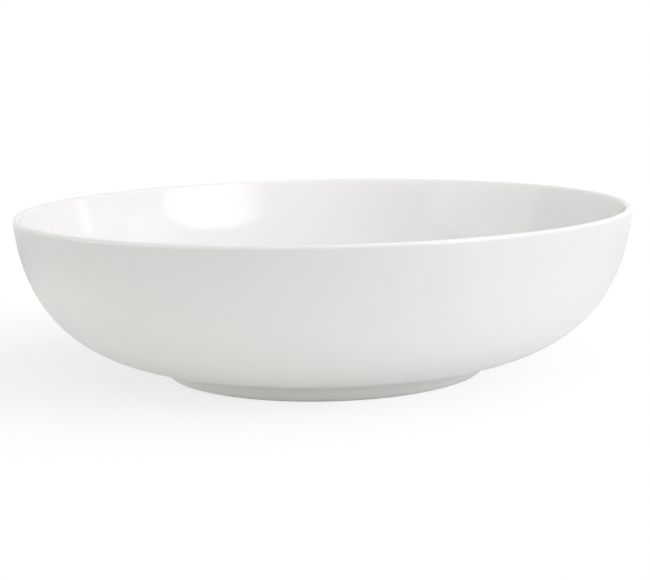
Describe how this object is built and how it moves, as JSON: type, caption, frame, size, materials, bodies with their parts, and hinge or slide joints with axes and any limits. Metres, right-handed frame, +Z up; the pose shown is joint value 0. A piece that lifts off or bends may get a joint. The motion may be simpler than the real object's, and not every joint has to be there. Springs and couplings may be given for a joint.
{
  "type": "salad bowl",
  "caption": "Wide, low round bowl of white glazed porcelain with a rounded rim and a foot ring, for tossing and serving salad.",
  "frame": {"origin": "on the bowl's axis, in the plane that its foot stands on", "axes": "+Z up along the bowl's axis, from the foot to the rim; the bowl is round, so X and Y are free"},
  "size_m": [0.3, 0.3, 0.082],
  "materials": {
    "porcelain": "bare fired porcelain, matte, on the foot's bearing edge",
    "slip": "fired slip of the same clay, hidden in the joint",
    "inside_glaze": "white glaze, glossy",
    "outside_glaze": "white glaze, glossy"
  },
  "bodies": {
    "root": {"bowl_body": "porcelain", "foot_ring": "porcelain", "slip_joint": "slip", "inside_glaze": "inside_glaze", "outside_glaze": "outside_glaze", "recess_glaze": "outside_glaze"}
  },
  "joints": []
}
